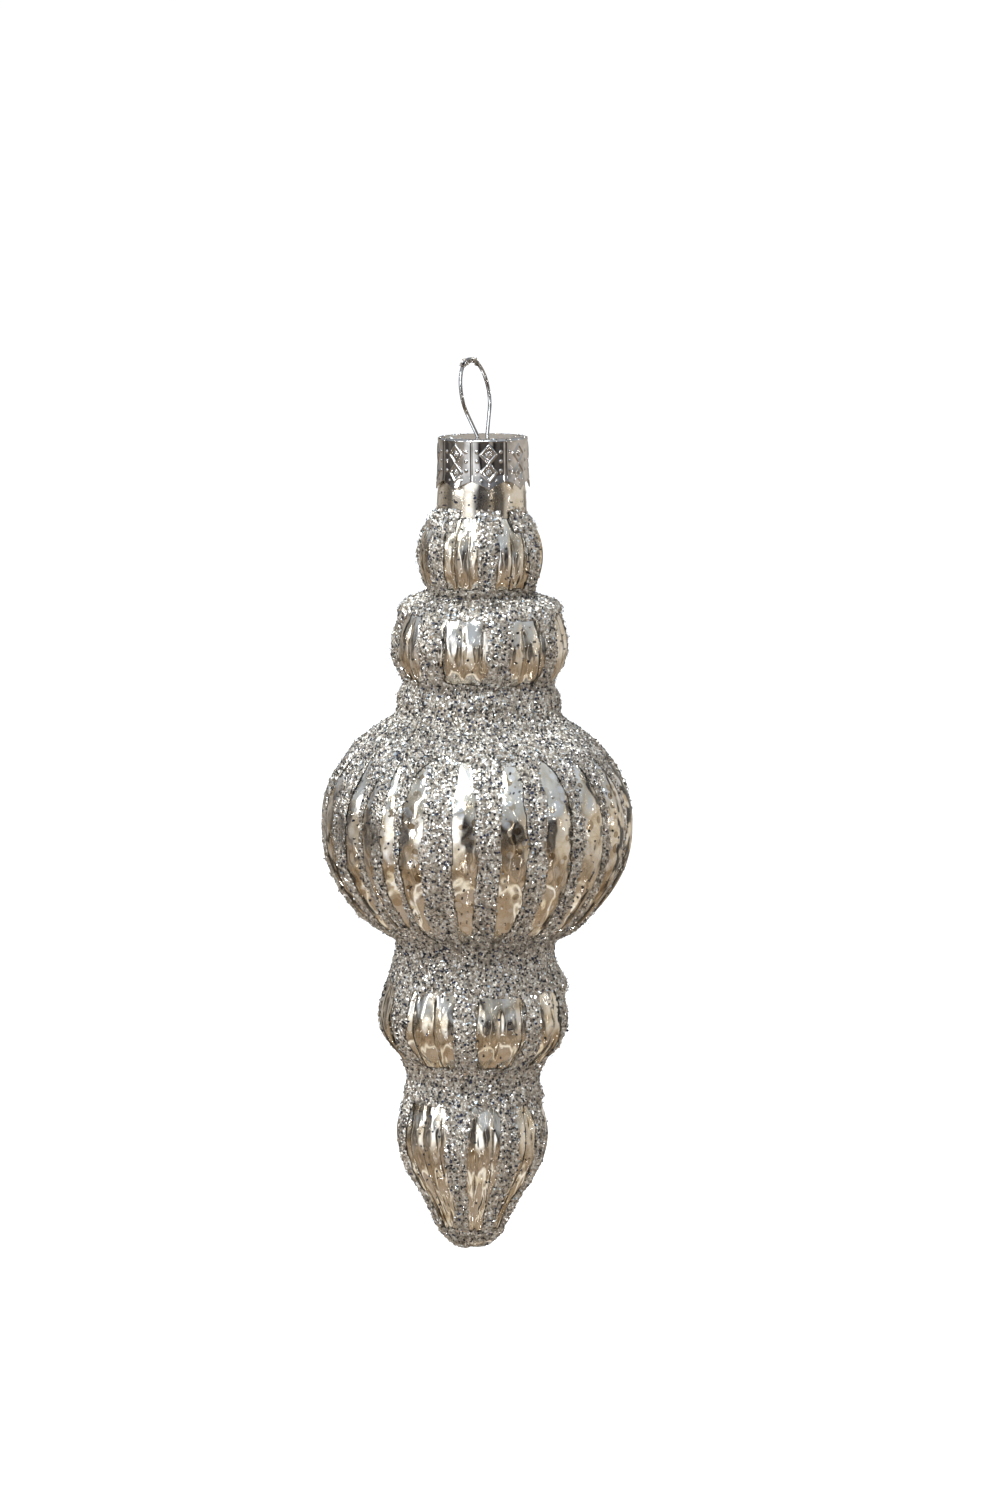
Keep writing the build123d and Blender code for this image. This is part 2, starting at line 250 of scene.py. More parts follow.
SHOULDER_SPANS = ((-80, -28), (-6, 24), (38, 72), (105, 150), (175, 215), (235, 262))
EDGE_WOBBLE = waves(11, 16, 4)
PATCHY = waves(12, 20, 3)
CLUMPS = waves(13, 60, 1.1)
STRIPE_WOBBLE = 0.12    # how much a stripe's width varies along it
EDGE_WANDER = 0.22      # mm that the glitter's edges stray
SHOULDER_DEPTH = 0.6    # mm that the shoulder's clumps reach in among the ribs
TIP_COAT = 0.8          # fractions of the drop's outline, where its coat and the coat's window start
TIP_WINDOW = 0.88
TIP_WINDOW_SPAN = (-12, 62)

# extra glitter smeared over some of the bulb's crests: middle and half width in degrees
CREST_SMEARS = ((-40.0, 2.3), (-60.0, 2.8), (-77.0, 2.0), (139.5, 3.0), (211.5, 3.4))


def bump(distance, radius, height):
    """A round rise of the given radius and height."""
    return height * np.clip(1 - (distance / radius) ** 2, 0, 1) ** 1.5


def near_span(angle, start, end, r):
    """Signed distance in mm into a span of angles from FRONT."""
    middle, half = (start + end) / 2, (end - start) / 2
    d = np.abs((angle - FRONT - middle + 180) % 360 - 180)
    return (half - d) * np.radians(1) * r


def coverage(bead, u, angle):
    """Depth into the glittered area in mm: above 0 is glittered, below 0 is bare glass."""
    r, z = look_up(bead, "line", u)
    start, end = bead["ribbed"]
    length = bead["length"]
    inside = np.full(np.broadcast(u, angle).shape, -9.0)
    place = np.clip((u - start) / (end - start), 0, 1)
    for k, c in enumerate(bead["stripes"]):
        narrow = bead["half"][k % len(bead["half"])]
        half = narrow + (bead["end_half"] - narrow) * np.abs(2 * place - 1) ** 4.5
        widen = 1 + STRIPE_WOBBLE * EDGE_WOBBLE(c * 1.7, z)
        inside = np.maximum(inside, near_span(angle, c - 1, c + 1, r)
                            + (half * widen - 1) * np.radians(1) * r)
    if bead["name"] == "bulb":
        for c, h in CREST_SMEARS:
            inside = np.maximum(inside, near_span(angle, c - h, c + h, r))
    if bead["name"] == "bead_1":
        for span in SHOULDER_SPANS:
            inside = np.maximum(inside, np.minimum(near_span(angle, *span, r),
                                                   (start - u) * length + SHOULDER_DEPTH))
    else:
        inside = np.maximum(inside, (start - u) * length)
    if bead["name"] == "drop":
        window = np.minimum(near_span(angle, *TIP_WINDOW_SPAN, r), (u - TIP_WINDOW) * length)
        inside = np.minimum(np.maximum(inside, (u - TIP_COAT) * length), -window)
    else:
        inside = np.maximum(inside, (u - end) * length)
    return inside + EDGE_WANDER * EDGE_WOBBLE(angle, z)


# ---------------------------------------------------------------- materials

WHITE, BLACK = (1, 1, 1), (0, 0, 0)


def new_material(name):
    """A material, its node tree and its shader's inputs."""
    m = bpy.data.materials.new(name)
    m.use_nodes = True
    return m, m.node_tree, m.node_tree.nodes["Principled BSDF"].inputs


def object_coords(tree):
    return tree.nodes.new("ShaderNodeTexCoord").outputs["Object"]


def noise(tree, coords, scale, **settings):
    node = tree.nodes.new("ShaderNodeTexNoise")
    node.inputs["Scale"].default_value = scale
    for name, value in settings.items():
        node.inputs[name].default_value = value
    tree.links.new(coords, node.inputs["Vector"])
    return node.outputs["Fac"]


def cells(tree, coords, scale):
    """Cells about scattered points: the distance from the point, and two numbers random to each."""
    node = tree.nodes.new("ShaderNodeTexVoronoi")
    node.inputs["Scale"].default_value = scale
    tree.links.new(coords, node.inputs["Vector"])
    pick = tree.nodes.new("ShaderNodeSeparateColor")
    tree.links.new(node.outputs["Color"], pick.inputs["Color"])
    return node.outputs["Distance"], pick.outputs["Red"], pick.outputs["Green"]


def ramp(tree, value, stops, interpolation="LINEAR"):
    """The colour that (position, colour) stops give a value."""
    node = tree.nodes.new("ShaderNodeValToRGB")
    node.color_ramp.interpolation = interpolation
    elements = node.color_ramp.elements
    while len(elements) < len(stops):
        elements.new(0.5)
    for element, (position, color) in zip(elements, stops):
        element.position = position
        element.color = (*color, 1)
    tree.links.new(value, node.inputs["Fac"])
    return node.outputs["Color"]


def remap(tree, value, start, end, to_start=0.0, to_end=1.0):
    node = tree.nodes.new("ShaderNodeMapRange")
    node.inputs["From Min"].default_value = start
    node.inputs["From Max"].default_value = end
    node.inputs["To Min"].default_value = to_start
    node.inputs["To Max"].default_value = to_end
    tree.links.new(value, node.inputs["Value"])
    return node.outputs["Result"]


def mix(tree, share, first, second, kind="MIX"):
    """Two colours mixed by a share, which is a plain number or another node's output."""
    node = tree.nodes.new("ShaderNodeMixRGB")
    node.blend_type = kind
    if isinstance(share, float):
        node.inputs["Fac"].default_value = share
    else:
        tree.links.new(share, node.inputs["Fac"])
    tree.links.new(first, node.inputs["Color1"])
    tree.links.new(second, node.inputs["Color2"])
    return node.outputs["Color"]


def glass_material():
    m, tree, shader = new_material("clear_glass")
    clouds = noise(tree, object_coords(tree), 90)
    tint = ramp(tree, clouds, ((0.3, (0.97, 0.955, 0.93)), (0.7, (0.995, 0.99, 0.98))))
    tree.links.new(tint, shader["Base Color"])
    shader["Roughness"].default_value = 0.02
    shader["Transmission Weight"].default_value = 1.0
    shader["IOR"].default_value = 1.5
    return m


def silver_material(name, spots, roughness):
    """An antiqued mirror coat: soft champagne clouds, and round blotches at the scales in spots."""
    m, tree, shader = new_material(name)
    coords = object_coords(tree)
    clouds = noise(tree, coords, 230, Detail=5, Roughness=0.6, Distortion=0.6)
    color = ramp(tree, clouds, ((0.30, (0.62, 0.51, 0.36)), (0.41, (0.83, 0.75, 0.61)),
                                (0.52, (0.91, 0.87, 0.79)), (0.66, (0.97, 0.96, 0.94))))
    for scale in spots:
        distance, kind, chosen = cells(tree, coords, scale)
        disc = ramp(tree, distance, ((0.34, WHITE), (0.38, BLACK)))
        blotch = ramp(tree, kind, ((0.0, (0.46, 0.37, 0.26)), (0.16, (0.68, 0.58, 0.44)),
                                   (0.34, (0.80, 0.73, 0.62)), (0.48, (0.97, 0.96, 0.94))),
                      "CONSTANT")
        some = ramp(tree, chosen, ((0.0, WHITE), (0.6, BLACK)), "CONSTANT")
        color = mix(tree, mix(tree, 1.0, disc, some, "MULTIPLY"), color, blotch)
    tree.links.new(color, shader["Base Color"])
    rough = remap(tree, clouds, 0.3, 0.7, roughness * 1.6, roughness * 0.6)
    tree.links.new(rough, shader["Roughness"])
    shader["Metallic"].default_value = 1.0
    return m


def flake_material(name, stops, roughest, smoothest, metallic):
    """Metal flakes, each of one colour drawn from the stops, the last ones the most polished."""
    m, tree, shader = new_material(name)
    island = tree.nodes.new("ShaderNodeNewGeometry").outputs["Random Per Island"]
    tree.links.new(ramp(tree, island, stops, "CONSTANT"), shader["Base Color"])
    rough = remap(tree, island, 0.35, 0.75, roughest, smoothest)
    tree.links.new(rough, shader["Roughness"])
    shader["Metallic"].default_value = metallic
    return m


def crust_material():
    """A bed of small grains, each of one tone."""
    m, tree, shader = new_material("glitter_crust")
    _, grain, _ = cells(tree, object_coords(tree), 2600)
    tone = ramp(tree, grain, ((0.0, (0.05, 0.05, 0.05)), (0.08, (0.37, 0.325, 0.27)),
                              (0.42, (0.51, 0.46, 0.395)), (0.76, (0.70, 0.67, 0.62))), "CONSTANT")
    tree.links.new(tone, shader["Base Color"])
    shader["Metallic"].default_value = 0.78
    shader["Roughness"].default_value = 0.32
    return m


def metal_material(name, dark, light, roughness, scale):
    """Metal tarnished in soft patches, rougher where it is darker."""
    m, tree, shader = new_material(name)
    patches = noise(tree, object_coords(tree), scale, Detail=6)
    tone = ramp(tree, patches, ((0.35, dark), (0.62, light)))
    tree.links.new(tone, shader["Base Color"])
    rough = remap(tree, patches, 0.3, 0.7, roughness * 1.6, roughness * 0.8)
    tree.links.new(rough, shader["Roughness"])
    shader["Metallic"].default_value = 1.0
    return m


GLASS = glass_material()
SILVER = silver_material("antiqued_silver", (), 0.08)
SILVER_SPOTTED = silver_material("antiqued_silver_spotted", (430, 620), 0.08)
SILVER_NECK = silver_material("antiqued_silver_neck", (), 0.13)
CRUST = crust_material()
FLAKES = flake_material("silver_flakes", (
    (0.0, (0.02, 0.022, 0.03)), (0.04, (0.32, 0.28, 0.23)), (0.20, (0.51, 0.45, 0.38)),
    (0.42, (0.66, 0.61, 0.545)), (0.60, (0.80, 0.78, 0.75)), (0.71, (0.98, 0.985, 0.98)),
    (0.93, (1.0, 0.86, 0.76)), (0.96, (0.76, 0.90, 1.0))), 0.34, 0.15, 0.96)
TINPLATE = metal_material("stamped_tinplate", (0.43, 0.42, 0.41), (0.65, 0.635, 0.625), 0.06, 420)
WIRE = metal_material("hanger_wire_steel", (0.20, 0.19, 0.18), (0.56, 0.55, 0.54), 0.12, 900)
DARK_FLAKES = flake_material("dark_flakes", (
    (0.0, (0.006, 0.007, 0.012)), (0.5, (0.01, 0.016, 0.05)), (0.8, (0.03, 0.028, 0.025))),
    0.5, 0.3, 0.2)


# ---------------------------------------------------------------- glass and silvering

ROW_STEP = 0.42
BEAD_COLS, BULB_COLS = 480, 720
LINING_DEPTH = 0.22     # mm from the glass's face in to its mirror coat
LINING_RIBS = 0.95      # how much of the ribs' depth the mirror coat follows


def bead_grid(bead, rows, cols, offset=0.0, rib_share=1.0, wavy=False):
    """Points all over a bead; the wavy ones waver a little, so that reflections break up."""
    u = np.linspace(0, 1, rows)[:, None]
    angle = np.arange(cols)[None, :] * 360.0 / cols
    u, angle = np.broadcast_arrays(u, angle)
    waver = 0.0
    if wavy:
        z = look_up(bead, "line", u)[1]
        waver = FINE_HEIGHT * BLOWN_FINE(angle, z) + BROAD_HEIGHT * BLOWN_BROAD(angle, z)
    return surface(bead, u, angle, offset + waver, rib_share).reshape(-1, 3)


for bead in BEADS:
    rows = int(bead["length"] / ROW_STEP)
    cols = BULB_COLS if bead["name"] == "bulb" else BEAD_COLS
    verts = bead_grid(bead, rows, cols)
    add_quads("glass_" + bead["name"], verts, grid_quads(rows, cols, True), GLASS, "glass",
              "glass", replaces=("glass_" + bead["name"],))
    verts = bead_grid(bead, rows, cols, -LINING_DEPTH, LINING_RIBS, wavy=True)
    add_quads("silvering_" + bead["name"], verts, grid_quads(rows, cols, True),
              SILVER_SPOTTED if bead["name"] == "bulb" else SILVER, "glass", "silvering",
              replaces=("silver_lining",) if bead["name"] == "bulb" else ())


NECK_COLS = 240


def turned_piece(name, outline, material, slot, lumps, seed, replaces=()):
    """A piece turned about the axis from (radius, z) points, out of round by the lumps' height."""
    points = np.array(outline, float)
    angle = np.arange(NECK_COLS) * 360.0 / NECK_COLS
    field = waves(seed, 12, 12)
    r = points[:, 0][:, None] + lumps * field(angle[None, :], points[:, 1][:, None])
    a = np.radians(angle)[None, :]
    z = np.broadcast_to(points[:, 1][:, None], r.shape)
    verts = np.stack([r * np.cos(a), r * np.sin(a), z], -1).reshape(-1, 3)
    add_quads(name, verts, grid_quads(len(points), NECK_COLS, True), material, "glass", slot,
              replaces=replaces)


NECK = ((5.95, -0.45), (6.2, -0.31), (6.45, -0.36), (6.58, -0.7), (6.6, -3.0), (6.62, -7.0),
        (6.74, -7.8), (6.85, -8.6), (6.91, -9.6), (6.95, -11.0), (7.0, -11.6), (7.1, -12.0))
turned_piece("glass_neck", NECK, GLASS, "glass", replaces=("glass_neck",), lumps=0.02, seed=31)
turned_piece("silvering_neck", [(r - 0.3, z - 0.15) for r, z in NECK[2:]], SILVER_NECK,
             "silvering", lumps=0.04, seed=32)


# ---------------------------------------------------------------- glitter

def neck_clumps():
    """Glitter heaped against the foot of the neck, above the shoulder's coat."""
    r = rng(95)
    for number, (start, end) in enumerate(SHOULDER_SPANS):
        count = int((end - start) * 9)
        angle = np.radians(FRONT + r.uniform(start, end, count))
        rise = np.abs(r.normal(0, 0.5, count))
        out = np.stack([np.cos(angle), np.sin(angle), np.full(count, 0.35)], -1)
        heap = 7.0 + r.uniform(0.0, 0.6, count) * np.exp(-rise / 0.6)
        spots = np.stack([heap * np.cos(angle), heap * np.sin(angle), -12.1 + rise], -1)
        clumps = flakes_at(spots, out / np.linalg.norm(out, axis=1)[:, None], 0.24, 0.7,
                           96 + number)
        add_mesh(f"glitter_neck_foot_{number + 1}", *clumps, FLAKES, "glass", "glitter",
                 smooth=False)


def neck_specks():
    """Black dots strayed onto the neck, more of them towards its foot."""
    r = rng(91)
    count = 60
    angle = np.radians(r.uniform(0, 360, count))
    out = np.stack([np.cos(angle), np.sin(angle), np.zeros(count)], -1)
    z = -8.3 - np.abs(r.normal(0, 2.2, count))
    spots = 6.93 * out + np.array([0.0, 0.0, 1.0]) * np.maximum(z, -11.6)[:, None]
    specks = flakes_at(spots, out, 0.17, 0.2, 92)
    add_mesh("glitter_dots_neck", *specks, DARK_FLAKES, "glass", "glitter", smooth=False)


# the CAD's coats that each bead's glitter stands for
GLITTER_OF = {"bead_1": ("glitter_stripes_bead_1", "glitter_shoulder"),
              "bead_2": ("glitter_stripes_bead_2", "glitter_ring_1"),
              "bulb": ("glitter_stripes_bulb", "glitter_ring_2"),
              "bead_3": ("glitter_stripes_bead_3", "glitter_ring_3"),
              "drop": ("glitter_stripes_drop", "glitter_ring_4", "glitter_tip")}


# thick lumps of glitter: bead, angle from FRONT, z, radius and height in mm
LUMPS = (("bead_1", -66, -12.6, 1.6, 0.7), ("bead_1", 70, -13.2, 1.8, 0.5),
         ("bead_1", 150, -13.0, 2.0, 0.5), ("bead_2", -78, -26.2, 2.4, 0.7),
         ("bead_2", 82, -26.6, 2.6, 0.9), ("bead_2", 205, -26.0, 2.6, 0.6),
         ("bulb", 84, -41.2, 2.4, 0.6), ("bulb", -86, -40.8, 2.4, 0.4),
         ("bulb", 160, -41.0, 2.6, 0.5), ("bead_3", 78, -84.6, 3.0, 1.2),
         ("bead_3", -120, -83.5, 2.6, 0.6), ("drop", 80, -102.2, 2.0, 0.5),
         ("drop", -74, -104.5, 2.2, 0.5))


def clump(bead, u, angle):
    """How thick the glitter lies, in mm, as clumps of a few flakes each."""
    r, z = look_up(bead, "line", u)
    thick = np.clip(0.20 + 0.13 * CLUMPS(angle, z) + 0.08 * PATCHY(angle, z), 0.05, 0.5)
    for where, middle, height, size, rise in LUMPS:
        if where == bead["name"]:
            across = near_span(angle, middle, middle, r)
            thick = thick + bump(np.hypot(across, z - height), size, rise)
    return thick


def crust(bead, step, seed):
    """A rough skin over the glittered area, which thins out and stops at its edges."""
    rows = int(bead["length"] / step) + 1
    widest = bead["line"][:, 0].max()
    cols = int(2 * math.pi * widest / step)
    u, angle = np.meshgrid(np.linspace(0.0, 1.0, rows), np.arange(cols) * 360.0 / cols,
                           indexing="ij")
    depth = coverage(bead, u, angle)
    r = rng(seed)
    body = np.clip(depth / 0.5, 0, 1)
    lift = 0.02 + clump(bead, u, angle) * body + 0.12 * r.uniform(-1, 1, depth.shape)
    verts = surface(bead, u, angle, np.where(depth > 0, lift, -0.03)).reshape(-1, 3)
    quads = grid_quads(rows, cols, True)
    quads = quads[(depth.ravel()[quads] > 0).any(1)]
    used, compact = np.unique(quads, return_inverse=True)
    return verts[used], compact.reshape(-1, 4)


def flakes_at(points, normals, size, tilt, seed):
    """Closed six-sided flakes: a flat top, coming to a point underneath."""
    r = rng(seed)
    n = len(points)
    spin = r.normal(0, 1, (n, 3))
    facing = normals + np.tan(np.clip(np.abs(r.normal(0, tilt, n)), 0, 1.2))[:, None] \
        * spin / np.linalg.norm(spin, axis=1)[:, None]
    facing /= np.linalg.norm(facing, axis=1)[:, None]
    side = np.cross(facing, r.normal(0, 1, (n, 3)))
    side /= np.linalg.norm(side, axis=1)[:, None]
    other = np.cross(facing, side)
    half = size * r.uniform(0.65, 1.2, n)
    rim = []
    for k in range(6):
        a = math.radians(60 * k)
        rim.append(points + half[:, None] * (math.cos(a) * side + math.sin(a) * other))
    tip = points - 0.3 * half[:, None] * facing
    verts = np.stack(rim + [tip], 1).reshape(-1, 3)
    base = (np.arange(n) * 7)[:, None]
    top = base + np.arange(6)[None, :]
    tri = np.array([[6, (k + 1) % 6, k] for k in range(6)]).ravel()
    sides = base + tri[None, :]
    flat = np.concatenate([top, sides], 1).ravel()
    totals = np.tile([6] + [3] * 6, n)
    starts = np.concatenate([[0], np.cumsum(totals)[:-1]])
    return verts, flat, starts, totals


def scatter(bead, density, accept, seed):
    """Random places over the bead, evenly by area, kept where accept says."""
    r = rng(seed)
    radius = bead["line"][:, 0]
    area = 2 * math.pi * radius.mean() * bead["length"]
    n = int(area * density)
    share = np.cumsum(radius) / radius.sum()
    u = np.interp(r.uniform(0, 1, n), share, np.linspace(0, 1, len(radius)))
    angle = r.uniform(0, 360, n)
    keep = accept(coverage(bead, u, angle), r.uniform(0, 1, n))
    return u[keep], angle[keep]


def normals_at(bead, u, angle):
    nr, nz = look_up(bead, "normal", u)
    a = np.radians(angle)
    return np.stack([nr * np.cos(a), nr * np.sin(a), nz], -1)


FLAKES_A_PIECE = 18000


def lay_flakes(name, bead, u, angle, lift, size, tilt, seed, material=FLAKES):
    """Flakes over a bead, in pieces small enough to export whole."""
    points = surface(bead, u, angle, lift)
    normals = normals_at(bead, u, angle)
    for part, start in enumerate(range(0, len(points), FLAKES_A_PIECE)):
        pick = slice(start, start + FLAKES_A_PIECE)
        mesh = flakes_at(points[pick], normals[pick], size, tilt, seed + part)
        add_mesh(f"{name}_{part + 1}", *mesh, material, "glass", "glitter", smooth=False)


FLAKE, SPECK, DOT = 0.205, 0.2, 0.19        # about half a flake's width, in mm
DENSITY = 14.0       # flakes laid on each square mm
CRUST_STEP = 0.24
RAISED = 0.07           # share of the flakes that stand up clear of the rest

neck_specks()
neck_clumps()
for number, bead in enumerate(BEADS):
    verts, quads = crust(bead, CRUST_STEP, 100 + number)
    add_quads("glitter_crust_" + bead["name"], verts, quads, CRUST, "glass", "glitter",
              smooth=False, replaces=GLITTER_OF[bead["name"]])
    # silver flakes, heaped where the glitter is thick
    u, angle = scatter(bead, DENSITY, lambda d, p: d > 0.1 * p, 200 + number)
    draw = rng(300 + number)
    lift = clump(bead, u, angle) * draw.uniform(0.35, 1.25, len(u))
    lift += np.where(draw.uniform(0, 1, len(u)) < RAISED, draw.uniform(0.06, 0.24, len(u)), 0)
    lay_flakes("glitter_flakes_" + bead["name"], bead, u, angle, lift, FLAKE, 0.55, 400 + number)
    # silver flakes strayed onto the bare glass, fewer further from the stripes
    u, angle = scatter(bead, 1.0, lambda d, p: (d <= 0) & (p < 0.35 * np.exp(d / 0.7) + 0.03),
                       500 + number)
    lay_flakes("glitter_specks_" + bead["name"], bead, u, angle, 0.03, SPECK, 0.25, 600 + number)
    # black dots, on top of the glitter and a few on the glass
    u, angle = scatter(bead, 1.25, lambda d, p: (d > 0.1) | (p < 0.08), 700 + number)
    on_crust = coverage(bead, u, angle) > 0.1
    lift = np.where(on_crust, 1.25 * clump(bead, u, angle) + 0.16, 0.03)
    lay_flakes("glitter_dots_" + bead["name"], bead, u, angle, lift, DOT, 0.3, 800 + number,
               DARK_FLAKES)


# ---------------------------------------------------------------- cap

CAP_R, FLARE_R, CAP_BOTTOM, CAP_ARCH = 7.0, 7.42, -8.0, -6.5
CAP_EDGE = 0.5          # radius of the edge round the top
CAP_COLS, SKIRT_ROWS = 880, 76
SHEET = 0.2
MOTIF_STEP = 45.0       # degrees from one stamped motif to the next
DIAMOND_Z, DIAMOND_HALF_W, DIAMOND_HALF_H = (-2.35, -5.15), 1.15, 1.35
DOT_X, DOT_Z = 1.89, (-1.95, -3.4, -4.85)
LOW_DOTS = ((-1.2, -6.35), (1.2, -6.35), (0.0, -7.0))
CREASE_X = 2.75
TOP_RINGS = (0.05, 1.5, 3.0, 4.5, 5.6, 6.4)
INNER_RINGS = (0, 2, 5, 7, 9, 10, 30, 50, 68, 78, 84)   # the outer rings that the inside repeats
# the cap sits a little crooked: degrees it leans to the front's left, and away from the front
CAP_LEFT, CAP_BACK = 1.3, 1.4


def crooked(points):
    """Points on the cap, tipped about the middle of its top."""
    a = math.radians(CAMERA_AZIMUTH)
    front = np.array([math.sin(a), -math.cos(a), 0.0])
    right = np.array([math.cos(a), math.sin(a), 0.0])
    tip = math.radians(CAP_LEFT) * front - math.radians(CAP_BACK) * right
    angle = np.linalg.norm(tip)
    axis = tip / angle
    return points * math.cos(angle) + np.cross(axis, points) * math.sin(angle) \
        + np.outer(points @ axis, axis) * (1 - math.cos(angle))


def ridge(distance, width, height):
    """A soft ridge along a line, from the distance to it."""
    return height * np.exp(-(distance / width) ** 2)


def stamped(angle, z):
    """The height of the stamping above the skirt, in mm."""
    step = MOTIF_STEP
    x = ((angle - MOTIF + step / 2) % step - step / 2) * math.radians(1) * CAP_R
    h = np.zeros(x.shape)
    for middle in DIAMOND_Z:
        dz = z - middle
        edge = np.abs(x) / DIAMOND_HALF_W + np.abs(dz) / DIAMOND_HALF_H - 1
        h = np.maximum(h, ridge(edge * 0.85, 0.14, 0.16))
        h = np.maximum(h, bump(np.hypot(x, dz), 0.5, 0.2) - bump(np.hypot(x, dz), 0.24, 0.17))
    for side in (-1, 1):
        for dot in DOT_Z:
            h = np.maximum(h, bump(np.hypot(x - side * DOT_X, z - dot), 0.3, 0.18))
    for dot_x, dot_z in LOW_DOTS:
        h = np.maximum(h, bump(np.hypot(x - dot_x, z - dot_z), 0.22, 0.12))
    crease = np.abs(np.abs(x) - CREASE_X)
    return h - ridge(crease, 0.16, 0.07)


def cap_mesh():
    """The cap as one closed grid: out over its top, down the stamped skirt, and back up inside."""
    cols, step = CAP_COLS, MOTIF_STEP
    angle = np.arange(cols) * 360.0 / cols
    x = np.abs((angle - MOTIF + step / 2) % step - step / 2) / (step / 2)
    bottom = CAP_BOTTOM + (CAP_ARCH - CAP_BOTTOM) * np.clip(x / 0.97, 0, 1) ** 0.62
    dents = waves(41, 10, 14)
    outer = [(np.full(cols, r), np.zeros(cols)) for r in TOP_RINGS]
    for k in range(1, 6):
        a = math.pi / 2 * k / 6
        outer.append((np.full(cols, 6.5 + CAP_EDGE * math.sin(a)),
                      np.full(cols, CAP_EDGE * math.cos(a) - CAP_EDGE)))
    for k in range(SKIRT_ROWS + 1):
        z = -CAP_EDGE + (bottom + CAP_EDGE) * k / SKIRT_ROWS
        flare = np.clip((z - (CAP_ARCH + 1)) / (CAP_BOTTOM - CAP_ARCH - 1), 0, 1)
        r = CAP_R + (FLARE_R - CAP_R) * flare + stamped(angle, z) * 0.95 \
            + 0.05 * dents(angle, z) * np.clip(-z / 4, 0, 1) - 0.06
        outer.append((r, z))
    plain = [outer[k] for k in (*INNER_RINGS, len(outer) - 1)]
    inner = [(np.minimum(r, 7.3) - SHEET, z - SHEET * (z > -0.49)) for r, z in plain][::-1]
    a = np.radians(angle)
    verts = np.concatenate([np.stack([np.maximum(r, 0.02) * np.cos(a),
                                      np.maximum(r, 0.02) * np.sin(a), z], -1)
                            for r, z in outer + inner])
    quads = grid_quads(len(outer) + len(inner), cols, True)
    add_quads("stamped_cap", crooked(verts), quads, TINPLATE, "cap", "cap", replaces=("cap",))


cap_mesh()


# ---------------------------------------------------------------- wire hanger

WIRE_R = 0.3
LOOP_R, LOOP_TOP, LEG_X = 5.25, 12.05, 1.75
LEG_TURNS = ((LEG_X + 0.25, -2.0), (4.6, -9.3), (4.1, -10.5))     # (x, z) below the cap's top
BEND_RADII = (1.4, 1.4, 0.6)
TWIST = math.radians(4.0)       # the loop is turned a little about the vertical


def tube(path, radius, sides=14):
    """A round tube along the path, with rounded ends."""
    path = np.array(path, float)
    tangent = np.gradient(path, axis=0)
    tangent /= np.linalg.norm(tangent, axis=1)[:, None]
    normal = np.cross(tangent, [0.0, 1.0, 0.0])
    normal /= np.linalg.norm(normal, axis=1)[:, None]
    other = np.cross(tangent, normal)
    r = np.full(len(path), radius)
    r[0] = r[-1] = radius * 0.2
    a = np.arange(sides) * 2 * math.pi / sides
    ring = np.cos(a)[None, :, None] * normal[:, None] + np.sin(a)[None, :, None] * other[:, None]
    return (path[:, None] + r[:, None, None] * ring).reshape(-1, 3), \
        grid_quads(len(path), sides, True)


def hanger_path():
    """The wire's centre line: up one leg, round the loop and down the other, leaning to +Y."""
    centre = LOOP_TOP - LOOP_R
    lean = math.asin(LOOP_R / math.hypot(LEG_X, centre)) - math.atan2(LEG_X, centre)
    corner = [(LOOP_R * math.cos(lean), centre - LOOP_R * math.sin(lean)), (LEG_X, 0), *LEG_TURNS]
    side = []
    for k, radius in enumerate(BEND_RADII, start=1):
        p, q, s = (np.array(corner[i]) for i in (k - 1, k, k + 1))
        a, b = (p - q) / np.linalg.norm(p - q), (s - q) / np.linalg.norm(s - q)
        half = math.acos(np.clip(a @ b, -1, 1)) / 2
        cut = radius / math.tan(half)
        for t in np.linspace(0, 1, 7):
            side.append((1 - t) ** 2 * (q + a * cut) + 2 * t * (1 - t) * q + t ** 2 * (q + b * cut))
    side.append(np.array(corner[-1]))
    arc = [np.array([LOOP_R * math.cos(a), centre + LOOP_R * math.sin(a)])
           for a in np.linspace(-lean, math.pi + lean, 90)]
    right = [np.array(corner[0])] + side
    dense = []
    whole = [p * (-1, 1) for p in right[::-1]] + arc[::-1][1:-1] + right
    for p, q in zip(whole, whole[1:]):
        steps = max(1, int(np.linalg.norm(q - p) / 0.25))
        dense += [p + (q - p) * k / steps for k in range(steps)]
    dense.append(whole[-1])
    x, z = np.array(dense).T
    return np.stack([x * math.cos(TWIST), x * math.sin(TWIST) + z * math.sin(LEAN),
                     z * math.cos(LEAN)], 1)


def crumbs(wire_path):
    """Crumbs of glue and glitter on the loop's top and along the cap's rim."""
    r = rng(71)
    near_top = wire_path[wire_path[:, 2] > 10.9]
    spots = near_top[r.integers(0, len(near_top), 130)] + r.normal(0, 0.24, (130, 3))
    spots = spots[spots[:, 2] < 11.85]
    on_loop = flakes_at(spots, np.tile([0.0, 0.0, 1.0], (len(spots), 1)), 0.27, 0.9, 72)
    add_mesh("loop_crumbs", *on_loop, FLAKES, "hanger", "wire", smooth=False)
    a = np.radians(r.uniform(0, 360, 420))
    rim_r = 6.9 - np.abs(r.normal(0, 0.9, 420))
    spots = np.stack([rim_r * np.cos(a), rim_r * np.sin(a), np.where(rim_r > 6.6, -0.12, 0.0)], -1)
    on_rim = flakes_at(crooked(spots), np.tile([0.0, 0.0, 1.0], (420, 1)), 0.17, 0.5, 73)
    add_mesh("rim_crumbs", *on_rim, FLAKES, "cap", "cap", smooth=False)


wire_path = hanger_path()
verts, quads = tube(wire_path, WIRE_R)
add_quads("hanger_wire_tube", verts, quads, WIRE, "hanger", "wire", replaces=("hanger_wire",))
crumbs(wire_path)


